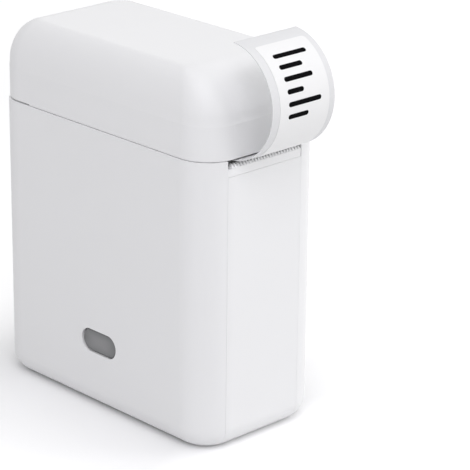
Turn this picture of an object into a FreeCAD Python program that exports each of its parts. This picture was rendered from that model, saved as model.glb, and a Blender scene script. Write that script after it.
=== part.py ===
import FreeCAD, Part
import math
import os

V = FreeCAD.Vector

# Frame: X runs to the label exit, the button face looks to -Y, Z is up.
# The origin is the centre of the flat bottom.

# Housing
LENGTH = 77.0
DEPTH = 39.0
CORNER_R = 9.0
FOOT_R = 5.5
WALL = 2.0
SEAM_Z = 73.2
SEAM_GAP = 0.15
BODY_TOP = SEAM_Z - SEAM_GAP / 2
LID_BOTTOM = SEAM_Z + SEAM_GAP / 2
LID_TOP = 93.75
LID_INSET = 0.3
DOME_HEIGHT = 12.2
DOME_END_RUN = 11.7
DOME_SIDE_RUN = 5.5
DOME_TOP_CORNER = 2.0
DOME_WALL_RUN = 1.5
DOME_ANGLES = (0, 12, 24, 36, 48, 60, 70, 79, 86, 90)
WIDE_SEAM_END_X = -25.2
WIDE_SEAM_STEP = 0.2
RIB_THICK = 1.2
BOARD_RIB_XS = (-29.0, 25.0)
BOARD_RIB_Z = (3.0, 30.0)

# Bottom cover
COVER_HALF = (30.0, 12.0)
COVER_CORNER = 5.0
COVER_THICK = 1.2
COVER_GAP = 0.2
HATCH_HALF = (23.0, 10.0)
HATCH_CORNER = 3.0
RIM_GAP = 0.3
RIM_TOP = 3.0

# Exit panel and tear bar
PANEL_Y = -0.5
PANEL_WIDTH = 23.6
PANEL_GAP = 0.05
PANEL_BACK_X = 34.5
PANEL_TOP = 69.2
PANEL_LIP = 0.55
PANEL_RIB_X = (35.2, 36.6)
PANEL_RIB_YS = (-8.6, 6.4)
PANEL_RIB_ZS = (14.0, 30.0, 46.0)
PANEL_RIB_SPAN = (8.0, 60.0)
TEAR_WIDTH = 23.5
TEAR_TOP = 72.1
TEAR_LOW = 66.4
TEAR_BACK_X = 37.1
TEAR_TONGUE_X = 37.9
TEAR_EDGE_X = 37.7
TEAR_INSET = 0.1
TEAR_SEAT_GAP = 0.03
TOOTH_COUNT = 24
TOOTH_HEIGHT = 1.0
TOOTH_START = 1.1

# Button
BUTTON_X = 0.4
BUTTON_Z = 18.05
BUTTON_LENGTH = 12.3
BUTTON_HEIGHT = 5.7
BUTTON_GAP = 0.2
BUTTON_RECESS = 0.35

# Hinge
HINGE_X = -35.8
HINGE_Z = SEAM_Z
KNUCKLE_R = 2.1
PIN_R = 0.8
PIN_BORE_R = 0.85
BODY_KNUCKLE = 3.2
LID_KNUCKLE = (3.5, 10.0)
KNUCKLE_CLEAR = 0.3
KNUCKLE_WEB = ((-37.0, 64.0), (-37.0, 70.2), (-35.7, 70.2),
               (-35.7, HINGE_Z), (-33.75, HINGE_Z), (-33.75, 69.0))

# Label path
TAPE_WIDTH = 20.0
TAPE_Y = 0.25
TAPE_Y0 = TAPE_Y - TAPE_WIDTH / 2
TAPE_Y1 = TAPE_Y + TAPE_WIDTH / 2
TAPE_THICK = 0.18
TAPE_Z = 72.55
LABEL_THICK = 0.08
LABEL_WIDTH = 15.8
LABEL_SIDE_MARGIN = 2.4
LABEL_END_MARGIN = 4.2
LABEL_START_X = 33.5
ROLL_X = -7.0
ROLL_Z = 54.0
ROLL_R = 19.0
CORE_R = 10.4
CORE_BORE_R = 8.6
LIP_X = 19.2
LIP_R = 5.0
LIP_GAP = 0.03
LIP_WALL = 1.4
LIP_Z = TAPE_Z - TAPE_THICK / 2 - LIP_GAP - LIP_R
CURL_X = 35.7
CURL_R = 14.1
CURL_END_DEG = 175.0

# Label bay
BAY_WALL = 1.0
BAY_R = 20.2
BAY_Y0 = TAPE_Y0 - 0.4
BAY_Y1 = TAPE_Y1 + 0.4
DECK_Z0 = 70.0
DECK_Z1 = 71.6
DECK_CLEAR = 0.2
DECK_BACK_X = -35.3
DECK_BOSS = (-32.9, 13.9)
DECK_BOSS_R = 2.5
DECK_BOSS_FOOT = 56.0
HEAD_WELL = (16.5, 14.0)
HINGE_WELL = (-33.0, 10.9)
LIP_OPENING_X = (12.5, 26.0)
SENSOR_X = (16.2, 18.2)
SENSOR_Z = 60.5
SENSOR_HALF = (2.2, 2.1)
SENSOR_WINDOW_HALF = 1.5

# Drive
MODULE = 0.5
BACKLASH = 0.12
PRESSURE_DEG = 20.0
ADDENDUM = 0.95
DEDENDUM = 1.25
PLATEN_X = 27.5
PLATEN_Z = 76.9
PLATEN_R = 4.2
SHAFT_R = 1.5
SHAFT_END_Y = 14.4
BUSH_R = 2.4
BUSH_YS = ((-12.65, -10.3), (11.7, 14.05))
RUN = 0.03
TEETH_PLATEN = 24
TEETH_IDLER = 28
TEETH_SMALL = 12
TEETH_LARGE = 30
TEETH_MOTOR = 10
TRAIN_DEG = 214.8
MOTOR_DEG = -50.0
PLANE_A = (-14.3, -12.75)
PLANE_B = (-16.2, -14.6)
AXLE_R = 0.75
GEAR_PLATE_Y = (-12.4, -11.4)
GEAR_PLATE_OUTLINE = ((14.6, 63.0), (14.6, 54.0), (16.0, 41.0), (34.4, 41.0), (34.4, 69.5), (23.0, 69.5))
MOTOR_R = 7.5
MOTOR_Y = (-11.3, 0.7)
MOTOR_EAR_RUN = 7.07
MOTOR_EAR_R = 2.4
MOTOR_FLANGE = 0.8
MOTOR_BOSS = (3.0, 1.1)
MOTOR_EDGE = 0.8
MOTOR_SHAFT_R = 1.0
MOTOR_SHAFT_Y = -9.2

# Print head
HEAD_PIVOT = (33.4, 68.6)
HEAD_PIN_R = 1.0
BRACKET_X = (24.9, 35.0)
BRACKET_Z = (64.4, 65.2)
CHEEK_NEAR_Y = (-11.2, -10.4)
CHEEK_FAR_Y = (11.8, 12.6)
CHEEK_TOP = (32.4, 78.6)
CHEEK_FRONT_Z = 71.0
NOTCH_R = 2.65
HEAD_X = (25.2, 34.8)
HEAD_Z = (70.4, 71.9)
HEAD_EAR_R = 2.1
HEAD_EAR_WIDTH = 2.0
CERAMIC_X = (25.4, 31.2)
HEATER_RISE = 0.15
SPRING_X = 29.2
SPRING_HALF = 2.6
SPRING_TOP = 70.05
SPRING_WIDTH = 8.0
SPRING_THICK = 0.3

# Platen carrier
CARRIER_X = (20.5, 33.0)
CARRIER_Z = (83.4, 84.9)
CARRIER_NEAR_Y = (-12.6, -11.5)
CARRIER_FAR_Y = (12.9, 14.0)
CARRIER_EYE_R = 3.7
CARRIER_SHOULDER_Z = 82.5

# Electronics
BOARD_X = (-34.5, 30.0)
BOARD_Y = (-13.0, -11.8)
BOARD_Z = (4.0, 31.0)
BOARD_HOLES = ((-31.0, 27.5), (26.5, 27.5), (26.5, 7.5))
CHIP_BLOCKS = ((-8, 0, 1.2, 20, 28), (10, 22, 2.2, 16, 28), (-20, -15, 3.0, 22, 27), (2, 9, 5.0, 5, 11))
CELL_X = 23.5
CELL_Y = (6.5, 16.3)
CELL_Z = (4.5, 31.0)
CELL_EDGE_R = 1.6
PAD_X = 18.0
PAD_Y = (16.32, 17.45)
PAD_Z = (9.0, 27.0)
USB_X = (-38.2, -30.9)
USB_SHEET = 0.35
USB_TONGUE = (0.7, 6.6)
USB_Y = -10.1
USB_Z = 14.0
USB_WIDTH = 8.9
USB_HEIGHT = 3.2
USB_GAP = 0.3

# Fasteners
SCREW_R = 0.75
SCREW_TIP = 0.6
PAN_HEAD = (1.9, 1.2)
FLAT_HEAD = (2.0, 1.1)
CROSS_SLOT = (2.2, 0.5)
CLEAR_R = 1.0
PILOT_R = 0.8
BOSS_R = 2.3
BOSS_TOP = 8.0
CARRIER_BOSS_R = 2.4
CARRIER_BOSS_Z = (85.0, 91.0)
COVER_SCREWS = ((-26.5, -8.5), (26.5, -8.5), (26.5, 8.5), (-26.5, 8.5))
CARRIER_SCREWS = ((24.0, -7.0), (24.0, 8.4))


def box(x0, x1, y0, y1, z0, z1):
    """Block between two corners."""
    return Part.makeBox(x1 - x0, y1 - y0, z1 - z0, V(x0, y0, z0))


def cyl_y(x, z, radius, y0, y1):
    """Cylinder along Y."""
    return Part.makeCylinder(radius, y1 - y0, V(x, y0, z), V(0, 1, 0))


def cyl_z(x, y, radius, z0, z1):
    """Cylinder along Z."""
    return Part.makeCylinder(radius, z1 - z0, V(x, y, z0))


def plate_xz(points, y0, y1):
    """Flat plate: an outline in X and Z, extruded along Y."""
    corners = [V(x, y0, z) for x, z in points]
    wire = Part.makePolygon(corners + corners[:1])
    return Part.Face(wire).extrude(V(0, y1 - y0, 0))


def ring_face(edges):
    """Face inside a closed loop of edges."""
    return Part.Face(Part.Wire(Part.__sortEdges__(edges)))


def arc_edge(p0, p1, p2):
    """Arc through three points."""
    return Part.Arc(p0, p1, p2).toShape()


def rounded_wire(half_x, half_y, radius, z):
    """Rectangle with round corners at height z."""
    edges = []
    turn = radius * math.sqrt(0.5)
    corners = ((1, 1), (-1, 1), (-1, -1), (1, -1))
    arcs = []
    for sx, sy in corners:
        cx = sx * (half_x - radius)
        cy = sy * (half_y - radius)
        on_side = V(cx + sx * radius, cy, z)
        on_end = V(cx, cy + sy * radius, z)
        middle = V(cx + sx * turn, cy + sy * turn, z)
        arcs.append((on_side, middle, on_end) if sx * sy > 0 else (on_end, middle, on_side))
    for i, (start, middle, end) in enumerate(arcs):
        edges.append(arc_edge(start, middle, end))
        edges.append(Part.makeLine(end, arcs[(i + 1) % 4][0]))
    return Part.Wire(edges)


def rounded_block(half_x, half_y, radius, z0, z1):
    """Upright block with round corners."""
    return Part.Face(rounded_wire(half_x, half_y, radius, z0)).extrude(V(0, 0, z1 - z0))


def round_foot(block, z, radius):
    """Round the edges that lie at height z."""
    low = [e for e in block.Edges if e.BoundBox.ZLength < 1e-4 and abs(e.BoundBox.ZMin - z) < 1e-4]
    return block.makeFillet(radius, low)


def pill_xz(x, z, length, height, y0, y1):
    """Bar with fully round ends, long in X, extruded along Y."""
    r = height / 2
    run = length / 2 - r
    middle = box(x - run, x + run, y0, y1, z - r, z + r)
    return middle.fuse([cyl_y(x - run, z, r, y0, y1), cyl_y(x + run, z, r, y0, y1)]).removeSplitter()


def pill_yz(y, z, width, height, x0, x1):
    """Bar with fully round ends, tall in Z, extruded along X."""
    r = width / 2
    run = height / 2 - r
    middle = box(x0, x1, y - r, y + r, z - run, z + run)
    ends = [Part.makeCylinder(r, x1 - x0, V(x0, y, z + s * run), V(1, 0, 0)) for s in (-1, 1)]
    return middle.fuse(ends).removeSplitter()


def tube_y(x, z, r_in, r_out, y0, y1):
    """Ring along Y."""
    return cyl_y(x, z, r_out, y0, y1).cut(cyl_y(x, z, r_in, y0 - 1, y1 + 1))


def turned(points, place, axis):
    """Solid of revolution from (radius, height) points about an axis through place."""
    wire = Part.makePolygon([V(r, 0, h) for r, h in points] + [V(points[0][0], 0, points[0][1])])
    solid = Part.Face(wire).revolve(V(0, 0, 0), V(0, 0, 1), 360)
    solid.Placement = FreeCAD.Placement(place, FreeCAD.Rotation(V(0, 0, 1), axis))
    return solid


def cross_slot(place, axis, depth):
    """Cross-shaped driver recess sunk from a screw head."""
    half_long = CROSS_SLOT[0] / 2
    half_wide = CROSS_SLOT[1] / 2
    first = box(-half_long, half_long, -half_wide, half_wide, -0.2, depth)
    second = box(-half_wide, half_wide, -half_long, half_long, -0.2, depth)
    cross = first.fuse(second)
    cross.Placement = FreeCAD.Placement(place, FreeCAD.Rotation(V(0, 0, 1), axis))
    return cross


def pan_screw(place, axis, length):
    """Pan-head screw; place is the seat under the head, axis points along the shank."""
    r, head = PAN_HEAD
    points = [(0, -head), (r - 0.5, -head), (r, 0.5 - head), (r, 0), (SCREW_R, 0)]
    points += [(SCREW_R, length - SCREW_TIP), (0, length)]
    screw = turned(points, place, axis)
    return screw.cut(cross_slot(place - axis * head, axis, head / 2))


def flat_screw(place, axis, length):
    """Countersunk screw; place is the middle of the head's flat top."""
    r, head = FLAT_HEAD
    points = ((0, 0), (r, 0), (SCREW_R, head), (SCREW_R, length - SCREW_TIP), (0, length))
    screw = turned(points, place, axis)
    return screw.cut(cross_slot(place, axis, head / 2))


def group(solids):
    """Separate solids in one node."""
    return Part.makeCompound(solids)


# Label path geometry

def path_tangent():
    """Direction and left normal of the straight run from the roll up to the guide lip."""
    dx = LIP_X - ROLL_X
    dz = LIP_Z - ROLL_Z
    roll_r = ROLL_R + 0.05 + TAPE_THICK / 2
    lip_r = LIP_R + LIP_GAP + TAPE_THICK / 2
    angle = math.atan2(dz, dx) + math.acos(-(roll_r + lip_r) / math.hypot(dx, dz))
    normal = (math.cos(angle), math.sin(angle))
    along = (math.sin(angle), -math.cos(angle))
    return along, normal, angle


ALONG, NORMAL, NORMAL_ANGLE = path_tangent()


def polar(cx, cz, radius, angle, y):
    """Point at an angle on a circle in the XZ plane."""
    return V(cx + radius * math.cos(angle), y, cz + radius * math.sin(angle))


def curl_point(height, deg, y):
    """Point on the curl outside the slot; height is the offset from the strip's middle."""
    return polar(CURL_X, TAPE_Z + CURL_R, CURL_R - height, math.radians(deg - 90), y)


def strip_side(height, y):
    """Edges of one face of the strip, from the roll to the free end."""
    roll_r = ROLL_R + 0.05 + TAPE_THICK / 2 - height
    lip_r = LIP_R + LIP_GAP + TAPE_THICK / 2 + height
    start = polar(ROLL_X, ROLL_Z, roll_r, NORMAL_ANGLE + math.pi, y)
    lip_in = polar(LIP_X, LIP_Z, lip_r, NORMAL_ANGLE, y)
    lip_mid = polar(LIP_X, LIP_Z, lip_r, (NORMAL_ANGLE + math.pi / 2) / 2, y)
    lip_out = polar(LIP_X, LIP_Z, lip_r, math.pi / 2, y)
    curl_in = curl_point(height, 0, y)
    curl_mid = curl_point(height, CURL_END_DEG / 2, y)
    curl_out = curl_point(height, CURL_END_DEG, y)
    edges = [Part.makeLine(start, lip_in), arc_edge(lip_in, lip_mid, lip_out)]
    edges += [Part.makeLine(lip_out, curl_in), arc_edge(curl_in, curl_mid, curl_out)]
    return edges, start, curl_out


def label_strip():
    """Backing paper from the roll, over the lip, through the nip and out in a curl."""
    half = TAPE_THICK / 2
    low, low_start, low_end = strip_side(-half, TAPE_Y0)
    high, high_start, high_end = strip_side(half, TAPE_Y0)
    ends = [Part.makeLine(low_start, high_start), Part.makeLine(low_end, high_end)]
    return ring_face(low + high + ends).extrude(V(0, TAPE_WIDTH, 0))


def label():
    """Label on the outside of the curl."""
    y0 = TAPE_Y0 + LABEL_SIDE_MARGIN
    inner = -TAPE_THICK / 2
    outer = inner - LABEL_THICK
    end = CURL_END_DEG - math.degrees(LABEL_END_MARGIN / CURL_R)
    edges = []
    starts = []
    ends = []
    for height in (inner, outer):
        start = V(LABEL_START_X, y0, TAPE_Z + height)
        edges.append(Part.makeLine(start, curl_point(height, 0, y0)))
        curl = [curl_point(height, deg, y0) for deg in (0, end / 2, end)]
        edges.append(arc_edge(*curl))
        starts.append(start)
        ends.append(curl[2])
    edges += [Part.makeLine(*starts), Part.makeLine(*ends)]
    return ring_face(edges).extrude(V(0, LABEL_WIDTH, 0))


def label_roll():
    """Wound labels."""
    return tube_y(ROLL_X, ROLL_Z, CORE_R, ROLL_R, TAPE_Y0, TAPE_Y1)


def roll_core():
    """Core of the roll: a tube with a thin disc across its middle."""
    core = tube_y(ROLL_X, ROLL_Z, CORE_BORE_R, CORE_R - 0.05, TAPE_Y0, TAPE_Y1)
    disc = cyl_y(ROLL_X, ROLL_Z, CORE_BORE_R + 0.2, TAPE_Y - 0.6, TAPE_Y + 0.6)
    return core.fuse(disc.cut(cyl_y(ROLL_X, ROLL_Z, 2.5, TAPE_Y0, TAPE_Y1)))


# Housing

def body_outer():
    """Outside of the body as a solid block."""
    return round_foot(rounded_block(LENGTH / 2, DEPTH / 2, CORNER_R, 0, BODY_TOP), 0, FOOT_R)


def body_cavity():
    """Inside of the body as a solid block."""
    block = rounded_block(LENGTH / 2 - WALL, DEPTH / 2 - WALL, CORNER_R - WALL, WALL, LID_TOP)
    return round_foot(block, WALL, FOOT_R - WALL)


def panel_zone(gap, z_top):
    """Block that takes in the exit panel, grown by a gap on each side."""
    y0 = PANEL_Y - PANEL_WIDTH / 2 - gap
    return box(PANEL_BACK_X - gap, LENGTH, y0, y0 + PANEL_WIDTH + 2 * gap, -1, z_top)


def hinge_relief():
    """Space behind the hinge that the lid's rear edge turns down into."""
    clear = LID_INSET
    half_flat = DEPTH / 2 - CORNER_R
    radius = CORNER_R - LID_INSET + clear
    centre_z = HINGE_Z - HINGE_X - LENGTH / 2 + CORNER_R
    reach = math.sqrt(radius ** 2 - (centre_z - HINGE_Z) ** 2)
    low = centre_z - radius
    x0 = -LENGTH
    bend = math.atan2(HINGE_Z - centre_z, reach)
    mid_angle = (bend - math.pi / 2) / 2
    mid = (half_flat + radius * math.cos(mid_angle), centre_z + radius * math.sin(mid_angle))
    right = arc_edge(V(x0, half_flat, low), V(x0, mid[0], mid[1]), V(x0, half_flat + reach, HINGE_Z))
    left = arc_edge(V(x0, -half_flat, low), V(x0, -mid[0], mid[1]), V(x0, -half_flat - reach, HINGE_Z))
    floor = Part.makeLine(V(x0, -half_flat, low), V(x0, half_flat, low))
    roof = Part.makeLine(V(x0, -half_flat - reach, HINGE_Z), V(x0, half_flat + reach, HINGE_Z))
    return ring_face([right, left, floor, roof]).extrude(V(HINGE_X - x0, 0, 0))


def body_knuckle():
    """Middle hinge barrel of the body with its gusset."""
    barrel = cyl_y(HINGE_X, HINGE_Z, KNUCKLE_R, -BODY_KNUCKLE, BODY_KNUCKLE)
    return barrel.fuse(plate_xz(KNUCKLE_WEB, -BODY_KNUCKLE, BODY_KNUCKLE))


def deck_boss(radius, z0, z1):
    """Pair of upright cylinders at the deck's two screws."""
    return [cyl_z(DECK_BOSS[0], s * DECK_BOSS[1], radius, z0, z1) for s in (-1, 1)]


def body_openings():
    """Everything cut out of the body: panel, cover, hatch, button, socket and screw holes."""
    cuts = [cyl_z(x, y, PILOT_R, -1, BOSS_TOP - 1) for x, y in COVER_SCREWS]
    cuts += deck_boss(PILOT_R, DECK_BOSS_FOOT + 4, DECK_Z1)
    cuts.append(panel_zone(PANEL_GAP, LID_TOP))
    cuts.append(rounded_block(*COVER_HALF, COVER_CORNER, -1, COVER_THICK + 0.05))
    cuts.append(rounded_block(*HATCH_HALF, HATCH_CORNER, 0, WALL + 1))
    length, height = (size + 2 * BUTTON_GAP for size in (BUTTON_LENGTH, BUTTON_HEIGHT))
    cuts.append(pill_xz(BUTTON_X, BUTTON_Z, length, height, -DEPTH, -DEPTH / 2 + 2 * WALL))
    width, height = (size + 2 * USB_GAP for size in (USB_HEIGHT, USB_WIDTH))
    cuts.append(pill_yz(USB_Y, USB_Z, width, height, -LENGTH, -LENGTH / 2 + 1.5 * WALL))
    cuts.append(cyl_y(HINGE_X, HINGE_Z, PIN_BORE_R, -DEPTH, DEPTH))
    return cuts


def body_shell():
    """Main housing: rounded tub with bosses, ribs, hinge barrel and openings."""
    shell = body_outer().cut(body_cavity())
    shell = shell.cut(hinge_relief())
    bosses = [cyl_z(x, y, BOSS_R, WALL / 2, BOSS_TOP) for x, y in COVER_SCREWS]
    bosses += deck_boss(DECK_BOSS_R, DECK_BOSS_FOOT, DECK_Z0 - 0.1)
    wall_y = -DEPTH / 2 + WALL / 2
    ribs = [box(x, x + RIB_THICK, wall_y, BOARD_Y[0] - 0.05, *BOARD_RIB_Z) for x in BOARD_RIB_XS]
    shell = shell.fuse(bosses + ribs + [body_knuckle()])
    return shell.cut(body_openings())


def front_panel():
    """Exit-side panel with inner ribs and a rebate for the tear bar."""
    panel = body_outer().cut(body_cavity()).common(panel_zone(0, PANEL_TOP))
    left, right = PANEL_RIB_YS
    ribs = [box(*PANEL_RIB_X, y, y + RIB_THICK, *PANEL_RIB_SPAN) for y in PANEL_RIB_YS]
    ribs += [box(*PANEL_RIB_X, left, right + RIB_THICK, z, z + RIB_THICK) for z in PANEL_RIB_ZS]
    rebate = box(0, LENGTH / 2 - PANEL_LIP, -DEPTH, DEPTH, TEAR_LOW - 0.1, LID_TOP)
    return panel.fuse(ribs).cut(rebate).removeSplitter()


def tooth_row():
    """Front view of the tear bar, with its teeth, extruded along X."""
    y0 = PANEL_Y - TEAR_WIDTH / 2
    root = TEAR_TOP - TOOTH_HEIGHT
    first = y0 + TOOTH_START
    pitch = (TEAR_WIDTH - TOOTH_START) / TOOTH_COUNT
    points = [(y0, TEAR_LOW), (y0, root), (first, root)]
    for i in range(TOOTH_COUNT):
        points.append((first + (i + 0.5) * pitch, TEAR_TOP))
        points.append((first + (i + 1) * pitch, root))
    points.append((y0 + TEAR_WIDTH, TEAR_LOW))
    corners = [V(TEAR_BACK_X, y, z) for y, z in points]
    return Part.Face(Part.makePolygon(corners + corners[:1])).extrude(V(LENGTH / 2 - TEAR_BACK_X, 0, 0))


def tear_bar():
    """Serrated bar that ends flush with the panel and has a tongue behind the panel's lip."""
    seat = PANEL_TOP + TEAR_SEAT_GAP
    face_x = LENGTH / 2 - TEAR_INSET
    profile = [(TEAR_BACK_X, TEAR_LOW), (TEAR_TONGUE_X, TEAR_LOW), (TEAR_TONGUE_X, seat), (face_x, seat)]
    profile += [(face_x, TEAR_TOP - TOOTH_HEIGHT), (TEAR_EDGE_X, TEAR_TOP), (TEAR_BACK_X, TEAR_TOP)]
    side_view = plate_xz(profile, -DEPTH / 2, DEPTH / 2)
    outside = rounded_block(face_x, DEPTH / 2 - TEAR_INSET, CORNER_R - TEAR_INSET, 0, SEAM_Z)
    return tooth_row().common(side_view).common(outside)


def bottom_cover():
    """Flush cover in the bottom with a locating rim and countersunk holes."""
    gap = COVER_GAP
    cover = rounded_block(COVER_HALF[0] - gap, COVER_HALF[1] - gap, COVER_CORNER - gap, 0, COVER_THICK)
    half_x, half_y = (half - RIM_GAP for half in HATCH_HALF)
    corner = HATCH_CORNER - RIM_GAP
    rim = rounded_block(half_x, half_y, corner, COVER_THICK / 2, RIM_TOP)
    hollow = rounded_block(half_x - RIB_THICK, half_y - RIB_THICK, corner - RIB_THICK, 0, RIM_TOP + 1)
    cover = cover.fuse(rim.cut(hollow))
    for x, y in COVER_SCREWS:
        sink = Part.makeCone(FLAT_HEAD[0] + 0.25, CLEAR_R, COVER_THICK, V(x, y, 0))
        cover = cover.cut(sink).cut(cyl_z(x, y, CLEAR_R, -1, RIM_TOP))
    return cover


def cover_screws():
    """Four countersunk screws in the bottom cover."""
    return group([flat_screw(V(x, y, 0.1), V(0, 0, 1), 6.0) for x, y in COVER_SCREWS])


# Label bay

def bay_section(radius, y0, y1, top):
    """Cradle section at a given radius about the roll, extruded along Y."""
    left = ROLL_X - radius
    foot = polar(ROLL_X, ROLL_Z, radius, NORMAL_ANGLE + math.pi, y0)
    rise = (top - foot.z) / ALONG[1]
    peak = V(foot.x + ALONG[0] * rise, y0, top)
    side = V(left, y0, ROLL_Z)
    bottom = arc_edge(side, polar(ROLL_X, ROLL_Z, radius, math.radians(-110), y0), foot)
    corner = V(left, y0, top)
    edges = [bottom, Part.makeLine(foot, peak), Part.makeLine(peak, corner), Part.makeLine(corner, side)]
    return ring_face(edges).extrude(V(0, y1 - y0, 0))


def guide_lip():
    """Half-round lip that turns the strip towards the print head."""
    y0 = BAY_Y0 - BAY_WALL
    y1 = BAY_Y1 + BAY_WALL
    lip = tube_y(LIP_X, LIP_Z, LIP_R - LIP_WALL, LIP_R, y0, y1)
    return lip.common(box(LIP_X - LIP_R - 1, LIP_X + LIP_R + 1, y0, y1, LIP_Z, LIP_Z + LIP_R + 1))


def deck_slice(x0, x1, y0, y1):
    """Block as tall as the deck, to cut from it."""
    return box(x0, x1, y0, y1, DECK_Z0 - 1, DECK_Z1 + 1)


def deck():
    """Flat deck round the mouth of the cradle, open at the print head and at the hinge."""
    inset = WALL + DECK_CLEAR
    plate = rounded_block(LENGTH / 2 - inset, DEPTH / 2 - inset, CORNER_R - inset, DECK_Z0, DECK_Z1)
    head_well = deck_slice(HEAD_WELL[0], LENGTH, -DEPTH, HEAD_WELL[1])
    back_edge = deck_slice(-LENGTH, DECK_BACK_X, -DEPTH, DEPTH)
    hinge_well = deck_slice(-LENGTH, HINGE_WELL[0], -HINGE_WELL[1], HINGE_WELL[1])
    return plate.cut([head_well, back_edge, hinge_well])


def label_bay():
    """Cradle for the roll with its deck and guide lip."""
    outer = bay_section(BAY_R + BAY_WALL, BAY_Y0 - BAY_WALL, BAY_Y1 + BAY_WALL, DECK_Z1)
    bay = outer.fuse(deck())
    bay = bay.cut(bay_section(BAY_R, BAY_Y0, BAY_Y1, LID_TOP))
    bay = bay.cut(box(*LIP_OPENING_X, BAY_Y0, BAY_Y1, LIP_Z + 0.2, LID_TOP))
    bay = bay.fuse(guide_lip())
    half = SENSOR_WINDOW_HALF
    x = SENSOR_X[0]
    window = box(x - 4, x + 2, TAPE_Y - half, TAPE_Y + half, SENSOR_Z - half, SENSOR_Z + half)
    return bay.cut([window] + deck_boss(CLEAR_R, DECK_Z0 - 1, DECK_Z1 + 1))


def bay_screws():
    """Two screws that hold the deck."""
    x, y = DECK_BOSS
    return group([pan_screw(V(x, s * y, DECK_Z1), V(0, 0, -1), 9.0) for s in (-1, 1)])


def label_sensor():
    """Gap sensor that looks at the strip through a window in the bay wall."""
    half_y, half_z = SENSOR_HALF
    body = box(*SENSOR_X, TAPE_Y - half_y, TAPE_Y + half_y, SENSOR_Z - half_z, SENSOR_Z + half_z)
    return body.cut(cyl_y(SENSOR_X[0], SENSOR_Z, 0.5, TAPE_Y - half_y + 1, TAPE_Y + half_y - 1))


def hinge_pin():
    """Steel pin of the lid hinge."""
    return cyl_y(HINGE_X, HINGE_Z, PIN_R, -LID_KNUCKLE[1], LID_KNUCKLE[1])


# Drive

def gear_centres():
    """Axis positions of the gear train in X and Z."""
    platen = (PLATEN_X, PLATEN_Z)
    idler = (PLATEN_X, PLATEN_Z - MODULE * (TEETH_PLATEN + TEETH_IDLER) / 2)
    run = MODULE * (TEETH_IDLER + TEETH_SMALL) / 2
    turn = math.radians(TRAIN_DEG)
    compound = (idler[0] + run * math.cos(turn), idler[1] + run * math.sin(turn))
    run = MODULE * (TEETH_LARGE + TEETH_MOTOR) / 2
    turn = math.radians(MOTOR_DEG)
    motor = (compound[0] + run * math.cos(turn), compound[1] + run * math.sin(turn))
    return platen, idler, compound, motor


PLATEN_C, IDLER_C, COMPOUND_C, MOTOR_C = gear_centres()


def mesh_phase(phase, teeth, direction, other):
    """Phase in degrees that puts a gear with another count in mesh along a direction."""
    part = ((phase - direction) * teeth / 360.0) % 1.0
    return direction + 180.0 + (0.5 - part) * 360.0 / other


def involute(angle):
    """Involute function."""
    return math.tan(angle) - angle


def spur_gear(centre, teeth, phase, y0, y1):
    """Spur gear with involute flanks; phase is the direction of one tooth in degrees."""
    pitch_r = MODULE * teeth / 2
    slope = math.radians(PRESSURE_DEG)
    base_r = pitch_r * math.cos(slope)
    tip_r = pitch_r + ADDENDUM * MODULE
    root_r = pitch_r - DEDENDUM * MODULE
    half = (math.pi * MODULE / 2 - BACKLASH) / 2 / pitch_r
    points = []
    flank = []
    for radius in (root_r, pitch_r - 0.3 * MODULE, pitch_r, tip_r):
        pressure = math.acos(min(1.0, base_r / radius))
        flank.append((radius, half + involute(slope) - involute(pressure)))
    for i in range(teeth):
        middle = math.radians(phase) + 2 * math.pi * i / teeth
        tooth = [(radius, middle - turn) for radius, turn in flank]
        tooth += [(radius, middle + turn) for radius, turn in reversed(flank)]
        points += [(centre[0] + r * math.cos(a), centre[1] + r * math.sin(a)) for r, a in tooth]
    return plate_xz(points, y0, y1)


PHASE_PLATEN = -90.0
PHASE_IDLER = mesh_phase(PHASE_PLATEN, TEETH_PLATEN, -90.0, TEETH_IDLER)
PHASE_SMALL = mesh_phase(PHASE_IDLER, TEETH_IDLER, TRAIN_DEG, TEETH_SMALL)
PHASE_LARGE = PHASE_SMALL
PHASE_MOTOR = mesh_phase(PHASE_LARGE, TEETH_LARGE, MOTOR_DEG, TEETH_MOTOR)


def platen_gear():
    """Gear on the platen shaft."""
    gear = spur_gear(PLATEN_C, TEETH_PLATEN, PHASE_PLATEN, *PLANE_A)
    return gear.cut(cyl_y(*PLATEN_C, SHAFT_R + 0.02, -20, 0))


def idler_gear():
    """Idler between the platen and the compound gear."""
    gear = spur_gear(IDLER_C, TEETH_IDLER, PHASE_IDLER, *PLANE_A)
    recess = tube_y(*IDLER_C, 2.2, 5.2, PLANE_A[0] - 1, PLANE_A[0] + 0.5)
    return gear.cut(recess).cut(cyl_y(*IDLER_C, AXLE_R + RUN, -20, 0))


def compound_gear():
    """Two-step reduction gear."""
    large = spur_gear(COMPOUND_C, TEETH_LARGE, PHASE_LARGE, *PLANE_B)
    small = spur_gear(COMPOUND_C, TEETH_SMALL, PHASE_SMALL, PLANE_B[1] - 0.1, PLANE_A[1])
    recess = tube_y(*COMPOUND_C, 2.4, 5.6, PLANE_B[0] - 1, PLANE_B[0] + 0.5)
    return large.cut(recess).fuse(small).cut(cyl_y(*COMPOUND_C, AXLE_R + RUN, -20, 0))


def motor_pinion():
    """Motor shaft with its pinion."""
    pinion = spur_gear(MOTOR_C, TEETH_MOTOR, PHASE_MOTOR, PLANE_B[0] - 0.2, PLANE_B[1] + 0.2)
    return pinion.fuse(cyl_y(*MOTOR_C, MOTOR_SHAFT_R, PLANE_B[0] - 0.2, MOTOR_SHAFT_Y))


def motor_ears():
    """Positions of the motor's two fixing screws."""
    return [(MOTOR_C[0] + s * MOTOR_EAR_RUN, MOTOR_C[1] - MOTOR_EAR_RUN) for s in (-1, 1)]


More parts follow.
